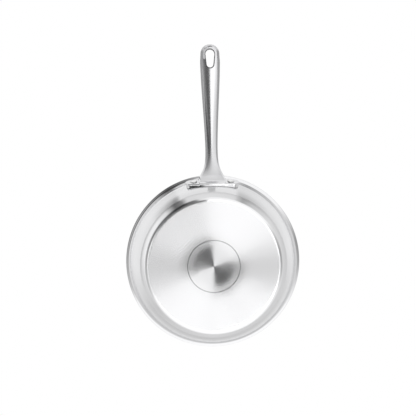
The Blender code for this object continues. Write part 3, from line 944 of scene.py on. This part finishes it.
def spun_steel(name, colour, zones, stretch, ring=None):
    """Steel brushed in circles about Z: its roughness at growing radii, and painted shade darkening a
    ring line if given.
    """
    material, nodes, shader = steel(name, colour, zones[0][1], stretch)
    tangent = nodes.add("ShaderNodeTangent", direction_type="RADIAL", axis="Z")
    nodes.link(tangent.outputs[0], shader.inputs["Tangent"])
    x, y, z = nodes.split(nodes.add("ShaderNodeTexCoord").outputs["Object"])
    radius = length(nodes, x, y)
    rings = nodes.noise(nodes.join(radius, z, 0.0), RING_DENSITY)
    wide_rings = nodes.noise(nodes.join(radius, z, WIDE_RING_PLACE), WIDE_RING_DENSITY)
    roughness = zones[0][1]
    for (start, _), (end, reached) in zip(zones, zones[1:]):
        roughness = nodes.fade(radius, start, end, roughness, reached)
    uneven = nodes.maths(
        "ADD", nodes.about_zero(rings, RING_UNEVEN), nodes.about_zero(wide_rings, WIDE_RING_UNEVEN),
    )
    varied = nodes.maths("ADD", roughness, nodes.maths("MULTIPLY", roughness, uneven))
    nodes.link(varied, shader.inputs["Roughness"])
    if ring:
        ring_radius, reach, ring_shade = ring
        # Painted shade: the colour darkened along the ring line's groove
        off = nodes.maths("ABSOLUTE", nodes.maths("SUBTRACT", radius, ring_radius))
        tone = nodes.fade(off, reach / 2, reach, ring_shade, 1.0)
        parts = [nodes.maths("MULTIPLY", tone, part) for part in colour]
        nodes.link(nodes.join(*parts), shader.inputs["Base Color"])
    engrave(nodes, shader, rings, RING_STRENGTH)
    return material


def brushed_steel(name, stretch):
    """Steel brushed along X, with other finishes at its root, strips, tip and hole, and painted shade
    darkening its strips and the hole's bore.
    """
    tone, roughness = BELLY_FINISH
    material, nodes, shader = steel(name, (tone, tone, tone), roughness, stretch)
    nodes.link(nodes.join(1.0, 0.0, 0.0), shader.inputs["Tangent"])
    place = nodes.add("ShaderNodeTexCoord")
    x, y, z = nodes.split(place.outputs["Object"])
    level = nodes.maths("ABSOLUTE", nodes.split(place.outputs["Normal"])[2])
    steep = nodes.fade(level, *STRIP_LEVEL, 1.0, 0.0)
    hole_middle = HANDLE_TIP - HOLE_FROM_TIP - HOLE_LENGTH / 2
    from_middle = nodes.maths("DIVIDE", nodes.maths("SUBTRACT", x, hole_middle), HOLE_REACH[0])
    from_hole = length(nodes, from_middle, nodes.maths("DIVIDE", y, HOLE_REACH[1]))
    in_hole = nodes.maths("LESS_THAN", from_hole, 1.0)
    near_hole = nodes.fade(from_hole, 1.0, HOLE_SATIN, HOLE_TIP_EXTRA, 0.0)
    for share, finish in (
        (nodes.fade(x, *ROOT_END, 1.0, 0.0), ROOT_FINISH),
        (nodes.fade(x, *BRACKET_REACH, 1.0, 0.0), BRACKET_FINISH),
        # Painted shade: steep strips darkened
        (nodes.maths("MULTIPLY", steep, nodes.fade(x, *STRIPS_START)), STRIP_FINISH_AND_SHADE),
        (nodes.fade(nodes.maths("ADD", x, near_hole), *TIP_START), TIP_FINISH),
        # Painted shade: the hole's steep bore darkened
        (nodes.maths("MULTIPLY", steep, in_hole), HOLE_FINISH_AND_SHADE),
    ):
        tone, roughness = nodes.mix(share, tone, finish[0]), nodes.mix(share, roughness, finish[1])
    blue = nodes.maths("MULTIPLY", tone, HANDLE_BLUENESS)
    nodes.link(nodes.join(tone, tone, blue), shader.inputs["Base Color"])
    along = nodes.maths("MULTIPLY", x, LINE_LENGTHENING)
    lines = nodes.noise(nodes.join(along, y, z), LINE_DENSITY)
    varied = nodes.maths("ADD", roughness, nodes.about_zero(lines, LINE_UNEVEN))
    nodes.link(varied, shader.inputs["Roughness"])
    engrave(nodes, shader, lines, LINE_STRENGTH)
    return material


def polished_steel(name, tone, side_shade, roughness):
    """Polished steel with faint wear, and painted shade darkening the side of a head."""
    material, nodes, shader = steel(name, (tone, tone, tone), roughness)
    place = nodes.add("ShaderNodeTexCoord")
    level = nodes.maths("ABSOLUTE", nodes.split(place.outputs["Normal"])[2])
    # Painted shade: the head's steep side darkened
    grey = nodes.fade(level, *HEAD_LEVEL, side_shade, tone)
    nodes.link(nodes.join(grey, grey, grey), shader.inputs["Base Color"])
    wear = nodes.noise(place.outputs["Object"], WEAR_DENSITY)
    varied = nodes.maths("ADD", roughness, nodes.about_zero(wear, WEAR_UNEVEN))
    nodes.link(varied, shader.inputs["Roughness"])
    return material


def dress(piece, material, slot, *nodes):
    """Give a piece its material, its body and the nodes that it stands for; its slot is not used."""
    piece.data.materials.clear()
    piece.data.materials.append(material)
    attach(piece, "root")
    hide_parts(*nodes)


make_camera()
make_floor()
make_studio()

shell_finish = spun_steel("shell_steel", SHELL_COLOUR, SHELL_ZONES, SHELL_STRETCH)
ring_line = (RING_RADIUS, RING_WIDTH, RING_SHADE)
base_finish = spun_steel("base_steel", BASE_COLOUR, BASE_ZONES, BASE_STRETCH, ring_line)
handle_finish = brushed_steel("handle_steel", HANDLE_STRETCH)
rivet_finish = polished_steel("rivet_steel", RIVET_TONE, RIVET_SIDE_SHADE, RIVET_ROUGHNESS)
core_finish = spun_steel("core_aluminium", CORE_COLOUR, CORE_ZONES, CORE_STRETCH)

shell = make_shell()
base_plate = make_base_plate()
handle = make_handle()
cut_hanging_hole(handle)
for name, side in (("rivet_left", -1), ("rivet_right", 1)):
    rivet = make_rivet(name + "_polished", side, (shell, handle))
    dress(rivet, rivet_finish, "rivet_steel", name)
dress(shell, shell_finish, "shell_steel", "pan_body")
dress(base_plate, base_finish, "base_steel", "base_cap")
dress(handle, handle_finish, "handle_steel", "handle")
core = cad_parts["base_core"]
core.data.materials.clear()
core.data.materials.append(core_finish)

bpy.context.scene.view_settings.view_transform = "Standard"
